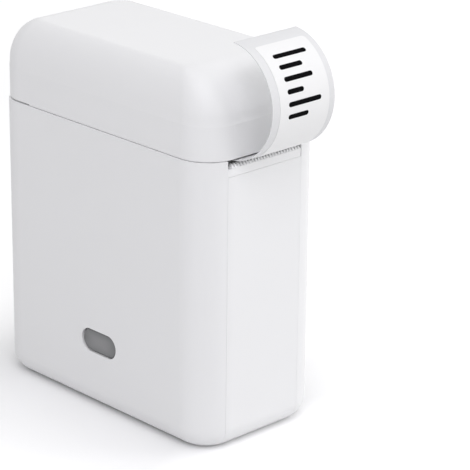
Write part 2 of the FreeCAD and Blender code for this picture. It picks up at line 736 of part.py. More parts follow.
def gear_plate():
    """Steel side plate that carries the motor and the axles."""
    plate = plate_xz(GEAR_PLATE_OUTLINE, *GEAR_PLATE_Y)
    bores = [(MOTOR_C, MOTOR_BOSS[0] + 0.3), (IDLER_C, AXLE_R), (COMPOUND_C, AXLE_R)]
    bores += [(ear, CLEAR_R) for ear in motor_ears()]
    return plate.cut([cyl_y(x, z, r, GEAR_PLATE_Y[0] - 1, GEAR_PLATE_Y[1] + 1) for (x, z), r in bores])


def gear_axles():
    """Two fixed axles with a head at the outer end."""
    axles = []
    for (x, z), y0 in ((IDLER_C, PLANE_A[0]), (COMPOUND_C, PLANE_B[0])):
        pin = cyl_y(x, z, AXLE_R, y0 - 0.8, GEAR_PLATE_Y[1])
        axles.append(pin.fuse(cyl_y(x, z, 1.5, y0 - 0.8, y0 - 0.3)))
    return group(axles)


def motor_flange(x, z):
    """Flat flange that reaches from the can to both ears."""
    reach = MOTOR_EAR_R * math.sqrt(0.5)
    low = z - MOTOR_EAR_RUN
    left = x - MOTOR_EAR_RUN
    right = x + MOTOR_EAR_RUN
    outline = [(left - reach, low + reach), (left + reach, low - reach)]
    outline += [(right - reach, low - reach), (right + reach, low + reach), (x, z + MOTOR_BOSS[0])]
    return plate_xz(outline, MOTOR_Y[0], MOTOR_Y[0] + MOTOR_FLANGE)


def stepper_motor():
    """Round can motor with a front boss, a flange with two ears and a shaft bore."""
    x, z = MOTOR_C
    front, back = MOTOR_Y
    length = back - front
    r = MOTOR_R
    boss_r, boss = MOTOR_BOSS
    points = [(0, -boss), (boss_r, -boss), (boss_r, 0), (r, 0)]
    points += [(r, length - MOTOR_EDGE), (r - MOTOR_EDGE, length), (0, length)]
    can = turned(points, V(x, front, z), V(0, 1, 0))
    ears = [cyl_y(ex, ez, MOTOR_EAR_R, front, front + MOTOR_FLANGE) for ex, ez in motor_ears()]
    motor = can.fuse(ears + [motor_flange(x, z)])
    bores = [cyl_y(ex, ez, PILOT_R, front - 1, front + 2) for ex, ez in motor_ears()]
    bores.append(cyl_y(x, z, MOTOR_SHAFT_R + 0.04, front - 2, MOTOR_SHAFT_Y + 0.2))
    return motor.cut(bores)


def motor_screws():
    """Two screws through the gear plate into the motor flange."""
    return group([pan_screw(V(x, GEAR_PLATE_Y[0], z), V(0, 1, 0), 2.6) for x, z in motor_ears()])


# Print head

def bracket_cheek(y0, y1):
    """Side cheek with an open notch for the platen bush."""
    x0, x1 = BRACKET_X
    foot = BRACKET_Z[0]
    outline = ((x0, foot), (x1, foot), (x1, CHEEK_FRONT_Z), CHEEK_TOP, (x0, CHEEK_TOP[1]))
    notch = cyl_y(*PLATEN_C, NOTCH_R, y0 - 1, y1 + 1)
    mouth = box(PLATEN_X - NOTCH_R, PLATEN_X + NOTCH_R, y0 - 1, y1 + 1, PLATEN_Z, LID_TOP)
    bore = cyl_y(*HEAD_PIVOT, HEAD_PIN_R + 0.01, y0 - 1, y1 + 1)
    return plate_xz(outline, y0, y1).cut([notch, mouth, bore])


def head_bracket():
    """Folded steel bracket under the print head."""
    floor = box(BRACKET_X[0], BRACKET_X[1], CHEEK_NEAR_Y[0], CHEEK_FAR_Y[1], *BRACKET_Z)
    return floor.fuse([bracket_cheek(*CHEEK_NEAR_Y), bracket_cheek(*CHEEK_FAR_Y)])


def head_pivot_pin():
    """Pin that the print head rocks on."""
    return cyl_y(*HEAD_PIVOT, HEAD_PIN_R, CHEEK_NEAR_Y[0] - 0.1, CHEEK_FAR_Y[1] + 0.1)


def head_plate():
    """Aluminium heat sink of the print head with two pivot ears."""
    y0 = TAPE_Y0 - 0.3
    y1 = TAPE_Y1 + 0.3
    x0, x1 = HEAD_X
    pivot_x, pivot_z = HEAD_PIVOT
    plate = box(x0, x1, y0, y1, *HEAD_Z)
    rib = box(x0, x0 + 1, y0, y1, pivot_z, HEAD_Z[0] + 0.2)
    ears = []
    for e0, e1 in ((y0, y0 + HEAD_EAR_WIDTH), (y1 - HEAD_EAR_WIDTH, y1)):
        ears.append(cyl_y(pivot_x, pivot_z, HEAD_EAR_R, e0, e1))
        ears.append(box(pivot_x - HEAD_EAR_R, x1, e0, e1, pivot_z, HEAD_Z[0] + 0.2))
    head = plate.fuse([rib] + ears)
    return head.cut(cyl_y(*HEAD_PIVOT, HEAD_PIN_R + 0.04, y0 - 1, y1 + 1))


def head_ceramic():
    """Ceramic strip with the raised heater line under the platen."""
    y0 = TAPE_Y0 - 0.1
    crest = TAPE_Z - TAPE_THICK / 2 - RUN
    top = crest - HEATER_RISE
    x0, x1 = CERAMIC_X
    outline = [(x0, HEAD_Z[1]), (x1, HEAD_Z[1]), (x1, top)]
    outline += [(PLATEN_X + 0.9, top), (PLATEN_X + 0.4, crest), (PLATEN_X - 0.4, crest)]
    outline += [(PLATEN_X - 0.9, top), (x0, top)]
    return plate_xz(outline, y0, y0 + TAPE_WIDTH + 0.2)


def head_spring():
    """Bowed leaf spring between the bracket and the head."""
    y0 = TAPE_Y - SPRING_WIDTH / 2
    foot = BRACKET_Z[1] + 0.02
    edges = []
    tips = []
    for lift in (0.0, SPRING_THICK):
        left = V(SPRING_X - SPRING_HALF - lift, y0, foot)
        top = V(SPRING_X, y0, SPRING_TOP + lift)
        right = V(SPRING_X + SPRING_HALF + lift, y0, foot)
        edges.append(arc_edge(left, top, right))
        tips.append((left, right))
    edges += [Part.makeLine(tips[0][0], tips[1][0]), Part.makeLine(tips[0][1], tips[1][1])]
    return ring_face(edges).extrude(V(0, SPRING_WIDTH, 0))


# Lid

def dome(half_x, half_y, corner, bottom, shoulder, height, run_x, run_y):
    """Upright block that closes in an elliptic dome above the shoulder."""
    sections = []
    for deg in DOME_ANGLES:
        lean = 1 - math.cos(math.radians(deg))
        z = shoulder + height * math.sin(math.radians(deg))
        radius = corner - (corner - DOME_TOP_CORNER) * lean
        sections.append(rounded_wire(half_x - run_x * lean, half_y - run_y * lean, radius, z))
    crown = Part.makeLoft(sections, True, False)
    return rounded_block(half_x, half_y, corner, bottom, shoulder).fuse(crown)


def lid_shell():
    """Domed lid with hinge barrels and two bosses for the platen carrier."""
    half_x = LENGTH / 2 - LID_INSET
    half_y = DEPTH / 2 - LID_INSET
    corner = CORNER_R - LID_INSET
    shoulder = LID_TOP - DOME_HEIGHT
    run_x, run_y = DOME_END_RUN, DOME_SIDE_RUN
    outer = dome(half_x, half_y, corner, LID_BOTTOM, shoulder, DOME_HEIGHT, run_x, run_y)
    half_x, half_y, corner = half_x - WALL, half_y - WALL, corner - WALL
    run_x, run_y = run_x - DOME_WALL_RUN, run_y - DOME_WALL_RUN
    inner = dome(half_x, half_y, corner, LID_BOTTOM - 1, shoulder, DOME_HEIGHT - WALL, run_x, run_y)
    lid = outer.cut(inner)
    lid = lid.cut(box(-LENGTH, WIDE_SEAM_END_X, -DEPTH, DEPTH, SEAM_Z, LID_BOTTOM + WIDE_SEAM_STEP))
    near, far = LID_KNUCKLE
    barrels = [cyl_y(HINGE_X, HINGE_Z, KNUCKLE_R, y0, y1) for y0, y1 in ((near, far), (-far, -near))]
    low, high = CARRIER_BOSS_Z
    bosses = [cyl_z(x, y, CARRIER_BOSS_R, low, LID_TOP - WALL / 2) for x, y in CARRIER_SCREWS]
    lid = lid.fuse(barrels + bosses)
    cuts = [cyl_y(HINGE_X, HINGE_Z, PIN_BORE_R, -DEPTH, DEPTH)]
    cuts.append(cyl_y(HINGE_X, HINGE_Z, KNUCKLE_R + KNUCKLE_CLEAR, -near, near))
    cuts += [cyl_z(x, y, PILOT_R, low - 1, high) for x, y in CARRIER_SCREWS]
    return lid.cut(cuts)


def carrier_cheek(y0, y1):
    """Cheek that hangs down to one platen bush."""
    x0, x1 = CARRIER_X
    top = CARRIER_Z[1]
    r = CARRIER_EYE_R
    outline = [(x0, top), (x1, top), (x1, CARRIER_SHOULDER_Z), (PLATEN_X + r, PLATEN_Z)]
    outline += [(PLATEN_X - r, PLATEN_Z), (x0, CARRIER_SHOULDER_Z)]
    cheek = plate_xz(outline, y0, y1).fuse(cyl_y(*PLATEN_C, r, y0, y1))
    return cheek.cut(cyl_y(*PLATEN_C, BUSH_R + 0.02, y0 - 1, y1 + 1))


def platen_carrier():
    """Bridge under the lid that carries the platen."""
    z0, z1 = CARRIER_Z
    plate = box(*CARRIER_X, CARRIER_NEAR_Y[0], CARRIER_FAR_Y[1], z0, z1)
    carrier = plate.fuse([carrier_cheek(*CARRIER_NEAR_Y), carrier_cheek(*CARRIER_FAR_Y)]).removeSplitter()
    return carrier.cut([cyl_z(x, y, CLEAR_R, z0 - 1, z1 + 1) for x, y in CARRIER_SCREWS])


def carrier_screws():
    """Two screws that hold the carrier in the lid."""
    return group([pan_screw(V(x, y, CARRIER_Z[0]), V(0, 0, 1), 7.0) for x, y in CARRIER_SCREWS])


def platen_bushes():
    """Plain bearings at both ends of the platen."""
    return group([tube_y(*PLATEN_C, SHAFT_R + RUN, BUSH_R, y0, y1) for y0, y1 in BUSH_YS])


def platen_shaft():
    """Steel shaft of the platen."""
    return cyl_y(*PLATEN_C, SHAFT_R, PLANE_A[0] - 0.3, SHAFT_END_Y)


def platen_rubber():
    """Rubber sleeve of the platen."""
    return tube_y(*PLATEN_C, SHAFT_R + 0.02, PLATEN_R, TAPE_Y0 - 0.5, TAPE_Y1 + 0.5)


# Electronics and button

def main_board():
    """Circuit board that stands behind the button face."""
    board = box(*BOARD_X, *BOARD_Y, *BOARD_Z)
    return board.cut([cyl_y(x, z, CLEAR_R, BOARD_Y[0] - 1, BOARD_Y[1] + 1) for x, z in BOARD_HOLES])


def board_chips():
    """Components on the back of the board."""
    y = BOARD_Y[1]
    return group([box(x0, x1, y, y + tall, z0, z1) for x0, x1, tall, z0, z1 in CHIP_BLOCKS])


def battery():
    """Flat rechargeable cell along the far wall."""
    cell = box(-CELL_X, CELL_X, *CELL_Y, *CELL_Z)
    return cell.makeFillet(CELL_EDGE_R, [e for e in cell.Edges if e.BoundBox.XLength > CELL_X])


def battery_pad():
    """Foam pad between the cell and the wall."""
    return box(-PAD_X, PAD_X, *PAD_Y, *PAD_Z)


def usb_socket():
    """Charging socket: a rounded metal tube with a tongue."""
    mouth, back = USB_X
    shrink = 2 * USB_SHEET
    shell = pill_yz(USB_Y, USB_Z, USB_HEIGHT, USB_WIDTH, mouth, back)
    shell = shell.cut(pill_yz(USB_Y, USB_Z, USB_HEIGHT - shrink, USB_WIDTH - shrink, mouth - 1, back - 1))
    half_y, half_z = (size / 2 for size in USB_TONGUE)
    tongue = box(mouth + 0.9, back - 0.6, USB_Y - half_y, USB_Y + half_y, USB_Z - half_z, USB_Z + half_z)
    return shell.fuse(tongue)


def push_switch():
    """Small push switch behind the button."""
    body = box(BUTTON_X - 3, BUTTON_X + 3, BOARD_Y[0] - 2.0, BOARD_Y[0], BUTTON_Z - 3, BUTTON_Z + 3)
    return body.fuse(cyl_y(BUTTON_X, BUTTON_Z, 1.6, BOARD_Y[0] - 2.5, BOARD_Y[0] - 1.9))


def status_light():
    """Light that shines through the button."""
    return box(4.4, 6.0, BOARD_Y[0] - 0.7, BOARD_Y[0], BUTTON_Z - 0.5, BUTTON_Z + 0.5)


def power_button():
    """Pill-shaped button with a flange behind the wall and a post towards the switch."""
    face_y = -DEPTH / 2 + BUTTON_RECESS
    inside = -DEPTH / 2 + WALL
    cap = pill_xz(BUTTON_X, BUTTON_Z, BUTTON_LENGTH, BUTTON_HEIGHT, face_y, inside + 0.3)
    rim = [e for e in cap.Edges if abs(e.BoundBox.YMax - face_y) < 1e-4]
    cap = cap.makeFillet(0.45, rim)
    flange = pill_xz(BUTTON_X, BUTTON_Z, BUTTON_LENGTH + 2.0, BUTTON_HEIGHT + 2.0, inside + 0.2, inside + 0.9)
    return cap.fuse([flange, cyl_y(BUTTON_X, BUTTON_Z, 1.3, inside + 0.8, inside + 1.45)])


PIECES = (
    body_shell, front_panel, tear_bar, bottom_cover, cover_screws, label_bay, bay_screws,
    label_sensor, hinge_pin, gear_plate, gear_axles, stepper_motor, motor_screws, head_bracket,
    head_pivot_pin, head_spring, main_board, board_chips, battery, battery_pad, usb_socket,
    push_switch, status_light, label_strip, label, label_roll, roll_core, lid_shell,
    platen_carrier, carrier_screws, platen_bushes, platen_shaft, platen_rubber, platen_gear,
    idler_gear, compound_gear, motor_pinion, head_plate, head_ceramic, power_button,
)

os.makedirs("parts", exist_ok=True)
for piece in PIECES:
    piece().exportStep("parts/" + piece.__name__ + ".step")
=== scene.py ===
import logging
import math
from dataclasses import dataclass, field
from enum import Enum
from functools import lru_cache
from typing import Optional, Union

import bmesh
import bpy
from mathutils import Matrix, Vector


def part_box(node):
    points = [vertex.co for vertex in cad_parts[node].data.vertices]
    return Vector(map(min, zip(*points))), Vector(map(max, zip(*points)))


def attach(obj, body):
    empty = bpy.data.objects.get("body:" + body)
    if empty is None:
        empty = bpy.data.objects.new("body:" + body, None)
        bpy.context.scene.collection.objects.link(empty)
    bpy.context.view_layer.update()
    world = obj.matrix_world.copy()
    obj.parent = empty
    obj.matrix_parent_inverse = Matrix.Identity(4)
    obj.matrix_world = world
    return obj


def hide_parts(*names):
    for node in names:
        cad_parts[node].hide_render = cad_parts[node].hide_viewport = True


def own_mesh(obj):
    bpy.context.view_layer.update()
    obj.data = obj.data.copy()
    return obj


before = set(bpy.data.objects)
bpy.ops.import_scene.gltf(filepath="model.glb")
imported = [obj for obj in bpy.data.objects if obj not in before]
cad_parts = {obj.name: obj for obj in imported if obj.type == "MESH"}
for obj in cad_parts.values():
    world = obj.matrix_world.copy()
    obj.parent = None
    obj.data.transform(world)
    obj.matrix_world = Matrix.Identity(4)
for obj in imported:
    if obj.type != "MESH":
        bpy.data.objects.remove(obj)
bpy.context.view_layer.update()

LOG = logging.getLogger("label_printer")

MM = 0.001
SHARP_EDGE = math.radians(35.0)

# Corners in the section of a flat band.
BAND_CORNERS = 4

# Lengths under this many millimetres count as none.
NEGLIGIBLE = 1e-6

# Places of the colour sockets in a Mix node, which repeats its socket names for each kind of value.
MIX_FIRST = 6
MIX_SECOND = 7
MIX_RESULT = 2

Colour = tuple[float, float, float]
Place = tuple[float, float, float]
Flat = tuple[float, float]
Faces = list[tuple[int, ...]]
Socket = bpy.types.NodeSocket
Feed = Union[Socket, float, Colour, Place]


class Body(Enum):
    """Bodies of the frame that pieces ride on."""

    BASE = "base"
    ROLL = "roll"


class Lay(Enum):
    """Direction that drawn, ground or pressed lines run in, as a stretch of the grain."""

    EVEN = (1.0, 1.0, 1.0)
    ALONG_Y = (1.0, 0.04, 1.0)
    ALONG_Z = (1.0, 1.0, 0.04)


class Detail(Enum):
    """Number of finer layers in noise."""

    SOFT = 2.0
    GRAIN = 3.0
    FINE = 4.0


class Shading:
    """One material's node tree, with short calls that add and join nodes."""

    def __init__(self, name: str) -> None:
        """Start an empty material.

        Args:
            name: Name of the material.
        """
        self.material = bpy.data.materials.new(name)
        self.material.use_nodes = True
        self.tree = self.material.node_tree
        self.tree.nodes.clear()
        self.output = self.tree.nodes.new("ShaderNodeOutputMaterial")
        self.where = self.add("ShaderNodeTexCoord").outputs["Object"]

    def add(
        self, kind: str, feeds: Optional[dict[str, Feed]] = None, **settings: object
    ) -> bpy.types.Node:
        """Add a node.

        Args:
            kind: Blender's name of the node type.
            feeds: Values or sockets for the node's inputs, by input name.
            settings: Properties of the node.

        Returns:
            The new node.
        """
        node = self.tree.nodes.new(kind)
        for key, value in settings.items():
            setattr(node, key, value)
        for key, value in (feeds or {}).items():
            self.feed(node.inputs[key], value)
        return node

    def feed(self, target: Socket, value: Feed) -> None:
        """Join a socket to an input, or set the input's own value.

        Args:
            target: Input that is fed.
            value: Socket to join, or a value to set.
        """
        if isinstance(value, bpy.types.NodeSocket):
            self.tree.links.new(value, target)
        elif isinstance(value, tuple) and target.type == "RGBA":
            target.default_value = (*value, 1.0)
        else:
            target.default_value = value

    def math(self, operation: str, first: Feed, second: Feed = 0.0, clamp: bool = False) -> Socket:
        """Add a sum of one or two values.

        Args:
            operation: Name of the operation.
            first: First value.
            second: Second value, where the operation has one.
            clamp: Keep the result between 0 and 1.

        Returns:
            The result.
        """
        node = self.add("ShaderNodeMath", operation=operation, use_clamp=clamp)
        self.feed(node.inputs[0], first)
        self.feed(node.inputs[1], second)
        return node.outputs[0]

    def vector(self, operation: str, first: Feed, second: Feed = (0.0, 0.0, 0.0)) -> bpy.types.Node:
        """Add a sum of one or two vectors.

        Args:
            operation: Name of the operation.
            first: First vector.
            second: Second vector, where the operation has one.

        Returns:
            The node with the result.
        """
        node = self.add("ShaderNodeVectorMath", operation=operation)
        self.feed(node.inputs[0], first)
        self.feed(node.inputs[1], second)
        return node

    def spread(self, value: Socket, low: float, high: float, span: Flat = (0.0, 1.0)) -> Socket:
        """Map a value that goes over a span to the range from low to high.

        Args:
            value: Value to map.
            low: Result at the start of the span and before it.
            high: Result at the end of the span and after it.
            span: Start and end of the value.

        Returns:
            The mapped value.
        """
        node = self.add("ShaderNodeMapRange", {"Value": value, "To Min": low, "To Max": high})
        self.feed(node.inputs["From Min"], span[0])
        self.feed(node.inputs["From Max"], span[1])
        return node.outputs["Result"]

    def ramp(self, length: Socket, span: Flat, low: float = 0.0, high: float = 1.0) -> Socket:
        """Rise from low to high as a length goes over a span in millimetres."""
        return self.spread(length, low, high, (span[0] * MM, span[1] * MM))

    def blend(self, share: Feed, first: Feed, second: Feed) -> Socket:
        """Mix two colours.

        Args:
            share: Share of the second colour.
            first: First colour.
            second: Second colour.

        Returns:
            The mixed colour.
        """
        node = self.add("ShaderNodeMix", {"Factor": share}, data_type="RGBA")
        self.feed(node.inputs[MIX_FIRST], first)
        self.feed(node.inputs[MIX_SECOND], second)
        return node.outputs[MIX_RESULT]

    def noise(self, size: float, lay: Lay = Lay.EVEN, detail: Detail = Detail.SOFT) -> Socket:
        """Add cloudy noise.

        Args:
            size: Size of one cloud in millimetres.
            lay: Direction that the clouds are drawn out in.
            detail: How finely the clouds break up.

        Returns:
            A value between 0 and 1.
        """
        scale = tuple(stretch / (size * MM) for stretch in lay.value)
        moved = self.add("ShaderNodeMapping", {"Vector": self.where, "Scale": scale})
        feeds = {"Vector": moved.outputs[0], "Scale": 1.0, "Detail": detail.value}
        return self.add("ShaderNodeTexNoise", feeds).outputs[0]

    def cells(self, size: float) -> Socket:
        """Distance from the middle of the nearest of round cells of a size in millimetres, about 0 to 1."""
        feeds = {"Vector": self.where, "Scale": 1.0 / (size * MM)}
        return self.add("ShaderNodeTexVoronoi", feeds).outputs["Distance"]

    def along(self, axis: str) -> Socket:
        """Coordinate along one axis, in metres."""
        return self.add("ShaderNodeSeparateXYZ", {"Vector": self.where}).outputs[axis]


def scaled(colour: Colour, factor: float) -> Colour:
    """Colour made paler or darker, up to white."""
    return tuple(min(1.0, channel * factor) for channel in colour)


@dataclass(frozen=True)
class Finish:
    """A surface: colour and roughness, how far both wander, and a fine grain.

    Lengths are in millimetres. Colours are linear. The colour wanders by the share mottle and the roughness
    by polish, to either side. The clouds of roughness are polish_ratio times smaller than those of colour.
    """

    name: str
    colour: Colour
    roughness: float
    metallic: float = 0.0
    mottle: float = 0.02
    mottle_size: float = 11.0
    polish: float = 0.05
    grain_size: float = 0.22
    grain_depth: float = 0.004
    lay: Lay = Lay.EVEN
    specular: float = 0.5
    polish_ratio: float = 3.0

    def cloud(self, shading: Shading, first: float, second: float) -> Socket:
        """Colour that wanders in soft clouds between two factors of the plain colour."""
        share = shading.noise(self.mottle_size)
        return shading.blend(share, scaled(self.colour, first), scaled(self.colour, second))

    def paint(self, shading: Shading) -> Socket:
        """Colour of the surface."""
        return self.cloud(shading, 1.0 - self.mottle, 1.0 + self.mottle)

    def gloss(self, shading: Shading) -> Socket:
        """Roughness of the surface."""
        cloud = shading.noise(self.mottle_size / self.polish_ratio, self.lay)
        return shading.spread(cloud, self.roughness - self.polish, self.roughness + self.polish)

    def relief(self, shading: Shading) -> Socket:
        """Height of the grain."""
        return shading.noise(self.grain_size, self.lay, Detail.GRAIN)

    def tune(self, shader: bpy.types.Node) -> None:
        """Set what is the same all over the surface."""
        shader.inputs["Metallic"].default_value = self.metallic
        shader.inputs["Specular IOR Level"].default_value = self.specular

    def material(self) -> bpy.types.Material:
        """Build the material.

        Returns:
            The material with its node tree.
        """
        shading = Shading(self.name)
        depth = self.grain_depth * MM
        bump = shading.add("ShaderNodeBump", {"Height": self.relief(shading), "Distance": depth})
        feeds = {
            "Base Color": self.paint(shading),
            "Roughness": self.gloss(shading),
            "Normal": bump.outputs[0],
        }
        shader = shading.add("ShaderNodeBsdfPrincipled", feeds)
        self.tune(shader)
        shading.feed(shading.output.inputs["Surface"], shader.outputs[0])
        return shading.material


@lru_cache(maxsize=None)
def made(finish: Finish) -> bpy.types.Material:
    """Material of a finish, built once."""
    return finish.material()


@dataclass(frozen=True)
class MouldedPlastic(Finish):
    """Moulded plastic with the fine eroded grain of its mould."""

    specular: float = 0.45
    pit_share: float = 0.6
    swell_scale: float = 2.3

    def relief(self, shading: Shading) -> Socket:
        """Height of the mould's grain: pits on a wider swell.

        Args:
            shading: Node tree that the height is made in.

        Returns:
            A height from 0 to 1.
        """
        swell = shading.noise(self.grain_size * self.swell_scale)
        pits = shading.math("MULTIPLY", shading.cells(self.grain_size), self.pit_share)
        return shading.math("ADD", pits, shading.math("MULTIPLY", swell, 1.0 - self.pit_share))


@dataclass(frozen=True)
class Paper(Finish):
    """Smooth paper with short fibres and a few pale flecks."""

    fleck: float = 0.03
    fleck_scale: float = 9.0
    fleck_level: float = 0.68
    fleck_share: float = 0.5
    fibre_scale: float = 4.0

    def paint(self, shading: Shading) -> Socket:
        """Colour with fibres and flecks.

        Args:
            shading: Node tree that the colour is made in.

        Returns:
            The colour.
        """
        fibre = shading.noise(self.grain_size * self.fibre_scale, self.lay, Detail.FINE)
        base = shading.blend(fibre, scaled(self.colour, 1.0 - self.mottle), self.colour)
        spots = shading.noise(self.grain_size * self.fleck_scale)
        flecks = shading.math("GREATER_THAN", spots, self.fleck_level)
        share = shading.math("MULTIPLY", flecks, self.fleck_share)
        return shading.blend(share, base, scaled(self.colour, 1.0 + self.fleck))


@dataclass(frozen=True)
class WoundPaper(Paper):
    """Edges of wound paper: fine rings about the roll's axis."""

    axis_x: float = 0.0
    axis_z: float = 0.0
    turn: float = 0.36

    def rings(self, shading: Shading) -> Socket:
        """Rings about the axis.

        Args:
            shading: Node tree that the rings are made in.

        Returns:
            A value from 0 to 0.5 that rises and falls once with each turn of the paper.
        """
        half_turn = 0.5
        dx = shading.math("SUBTRACT", shading.along("X"), self.axis_x * MM)
        dz = shading.math("SUBTRACT", shading.along("Z"), self.axis_z * MM)
        square = shading.math("ADD", shading.math("MULTIPLY", dx, dx), shading.math("MULTIPLY", dz, dz))
        turns = shading.math("DIVIDE", shading.math("SQRT", square), self.turn * MM)
        return shading.math("PINGPONG", turns, half_turn)

    def relief(self, shading: Shading) -> Socket:
        """Height of the rings with the paper's grain on them."""
        return shading.math("ADD", self.rings(shading), shading.noise(self.grain_size, self.lay))


@dataclass(frozen=True)
class DrawnMetal(Finish):
    """Metal with lines from rolling, drawing or turning."""

    tarnish: Colour = (0.25, 0.24, 0.23)
    tarnish_level: float = 0.55
    line_scale: float = 2.0

    def paint(self, shading: Shading) -> Socket:
        """Colour with faint lines and a little tarnish.

        Args:
            shading: Node tree that the colour is made in.

        Returns:
            The colour.
        """
        lines = shading.noise(self.grain_size * self.line_scale, self.lay, Detail.FINE)
        bright = shading.blend(lines, scaled(self.colour, 1.0 - self.mottle), self.colour)
        clouds = shading.noise(self.mottle_size, detail=Detail.FINE)
        patches = shading.math("SUBTRACT", clouds, self.tarnish_level, clamp=True)
        return shading.blend(patches, bright, self.tarnish)


@dataclass(frozen=True)
class LightGuide(Finish):
    """Smoked, clear button moulding, with painted shade that darkens it from the middle towards the rim."""

    rim_painted_shade: Colour = (0.1, 0.1, 0.1)
    centre: Flat = (0.0, 0.0)
    half_size: Flat = (1.0, 1.0)
    squareness: float = 4.0
    fade: float = 0.5
    cloud_factor: float = 1.08
    coat: float = 0.15

    def paint(self, shading: Shading) -> Socket:
        """Colour from the pale middle to painted shade at the rim.

        Args:
            shading: Node tree that the colour is made in.

        Returns:
            The colour.
        """
        away = []
        for axis, middle, half in zip("XZ", self.centre, self.half_size):
            gap = shading.math("SUBTRACT", shading.along(axis), middle * MM)
            share = shading.math("DIVIDE", gap, half * MM)
            away.append(shading.math("POWER", shading.math("ABSOLUTE", share), self.squareness))
        # Painted shade: the share of the dark rim colour rises from the middle out to the rim.
        rim_shade_share = shading.math("POWER", shading.math("ADD", *away), self.fade, clamp=True)
        return shading.blend(rim_shade_share, self.cloud(shading, 1.0, self.cloud_factor), self.rim_painted_shade)

    def tune(self, shader: bpy.types.Node) -> None:
        """Set what is the same all over the surface."""
        super().tune(shader)
        shader.inputs["Coat Weight"].default_value = self.coat


@dataclass(frozen=True)
class HeaterGlaze(Finish):
    """Glazed ceramic with a dark heater line across it."""

    line: Colour = (0.05, 0.03, 0.02)
    line_x: float = 0.0
    line_width: float = 0.5
    cloud_factor: float = 0.94

    def paint(self, shading: Shading) -> Socket:
        """Colour with the heater line.

        Args:
            shading: Node tree that the colour is made in.

        Returns:
            The colour.
        """
        gap = shading.math("ABSOLUTE", shading.math("SUBTRACT", shading.along("X"), self.line_x * MM))
        on_line = shading.math("LESS_THAN", gap, self.line_width / 2 * MM)
        return shading.blend(on_line, self.cloud(shading, 1.0, self.cloud_factor), self.line)


@dataclass(frozen=True)
class CircuitLaminate(Finish):
    """Circuit board under a solder mask, with tracks that show through.

    The length and the width of a track are given in pitches.
    """

    track: Colour = (0.03, 0.16, 0.07)
    pitch: float = 1.6
    track_length: float = 4.0
    track_width: float = 0.14
    track_blur: float = 0.1
    cloud_factor: float = 0.9

    def tracks(self, shading: Shading) -> Socket:
        """Pattern of the tracks on the upright board.

        Args:
            shading: Node tree that the pattern is made in.

        Returns:
            1 on a track, else 0.
        """
        upright = (math.pi / 2, 0.0, 0.0)
        turned = shading.add("ShaderNodeMapping", {"Vector": shading.where, "Rotation": upright})
        bricks = shading.add("ShaderNodeTexBrick", {
            "Vector": turned.outputs[0],
            "Scale": 1.0,
            "Mortar Smooth": self.track_blur,
            "Brick Width": self.pitch * self.track_length * MM,
            "Row Height": self.pitch * MM,
            "Mortar Size": self.pitch * self.track_width * MM,
        })
        return bricks.outputs["Fac"]

    def paint(self, shading: Shading) -> Socket:
        """Colour of mask and tracks."""
        mask = self.cloud(shading, 1.0, self.cloud_factor)
        return shading.blend(self.tracks(shading), mask, self.track)

    def relief(self, shading: Shading) -> Socket:
        """Height of the tracks under the mask."""
        return self.tracks(shading)


@dataclass(frozen=True)
class OpenFoam(Finish):
    """Foam with open pores."""

    def relief(self, shading: Shading) -> Socket:
        """Height between the pores."""
        return shading.cells(self.grain_size)


SHELL = MouldedPlastic("white_shell", (0.80, 0.801, 0.807), 0.46, mottle=0.008, mottle_size=24.0)
COVER = MouldedPlastic(
    "white_cover", (0.78, 0.781, 0.787), 0.52, mottle=0.01, grain_size=0.3, grain_depth=0.008,
)
TEAR = MouldedPlastic("tear_white", (0.82, 0.821, 0.826), 0.38, mottle=0.01, grain_depth=0.002)
BAY = MouldedPlastic("bay_grey", (0.60, 0.605, 0.615), 0.5, mottle=0.015)
CARRIER = MouldedPlastic(
    "carrier_black", (0.024, 0.024, 0.026), 0.52, mottle=0.1, grain_size=0.3, grain_depth=0.008,
)
GEAR = MouldedPlastic("gear_ivory", (0.72, 0.69, 0.60), 0.42, mottle=0.02, grain_depth=0.002)
CORE = MouldedPlastic("core_grey", (0.36, 0.365, 0.37), 0.45, mottle=0.02)
CHIP = MouldedPlastic("chip_black", (0.018, 0.018, 0.02), 0.55, mottle=0.1, grain_size=0.12)
LIGHT = MouldedPlastic("light_clear", (0.75, 0.78, 0.72), 0.2, mottle=0.02)
# The button's colour darkens towards the rim as painted shade.
BUTTON = LightGuide(
    "button_smoke", (0.215, 0.217, 0.22), 0.36, mottle_size=4.0, grain_depth=0.002,
    rim_painted_shade=(0.12, 0.122, 0.125), centre=(0.4, 18.05), half_size=(6.3, 3.0),
)
BACKING = Paper("backing_paper", (0.70, 0.702, 0.71), 0.6, mottle=0.02, grain_size=0.12, grain_depth=0.002)
LABEL = Paper("label_paper", (0.81, 0.81, 0.81), 0.7, mottle=0.012, grain_size=0.1, grain_depth=0.002)
INK = Paper(
    "print_black", (0.004, 0.004, 0.0045), 0.8, mottle=0.25, grain_size=0.06,
    grain_depth=0.001, specular=0.03,
)
STEEL = DrawnMetal("steel_sheet", (0.55, 0.55, 0.54), 0.34, 1.0, lay=Lay.ALONG_Z, grain_size=0.08)
PIN_STEEL = DrawnMetal("steel_bar", (0.60, 0.60, 0.59), 0.24, 1.0, lay=Lay.ALONG_Y, grain_size=0.06)
ALUMINIUM = DrawnMetal("aluminium", (0.76, 0.765, 0.77), 0.36, 1.0, lay=Lay.ALONG_Y, grain_size=0.08)
BRASS = DrawnMetal("brass", (0.70, 0.52, 0.24), 0.3, 1.0, lay=Lay.ALONG_Y, tarnish=(0.35, 0.24, 0.10))
BUSH = MouldedPlastic("bush_brown", (0.042, 0.035, 0.028), 0.4, mottle=0.06, grain_depth=0.002)
CERAMIC = HeaterGlaze("ceramic", (0.70, 0.68, 0.62), 0.18, grain_depth=0.001, line_x=27.5, line_width=0.8)
RUBBER = Finish("platen_rubber", (0.022, 0.022, 0.024), 0.78, mottle=0.2, grain_size=0.12, lay=Lay.ALONG_Y)
BOARD = CircuitLaminate("board_green", (0.012, 0.085, 0.035), 0.32, grain_depth=0.02)
CELL = Finish("cell_wrap", (0.42, 0.425, 0.44), 0.36, 0.85, mottle=0.06, grain_size=1.8, grain_depth=0.05)
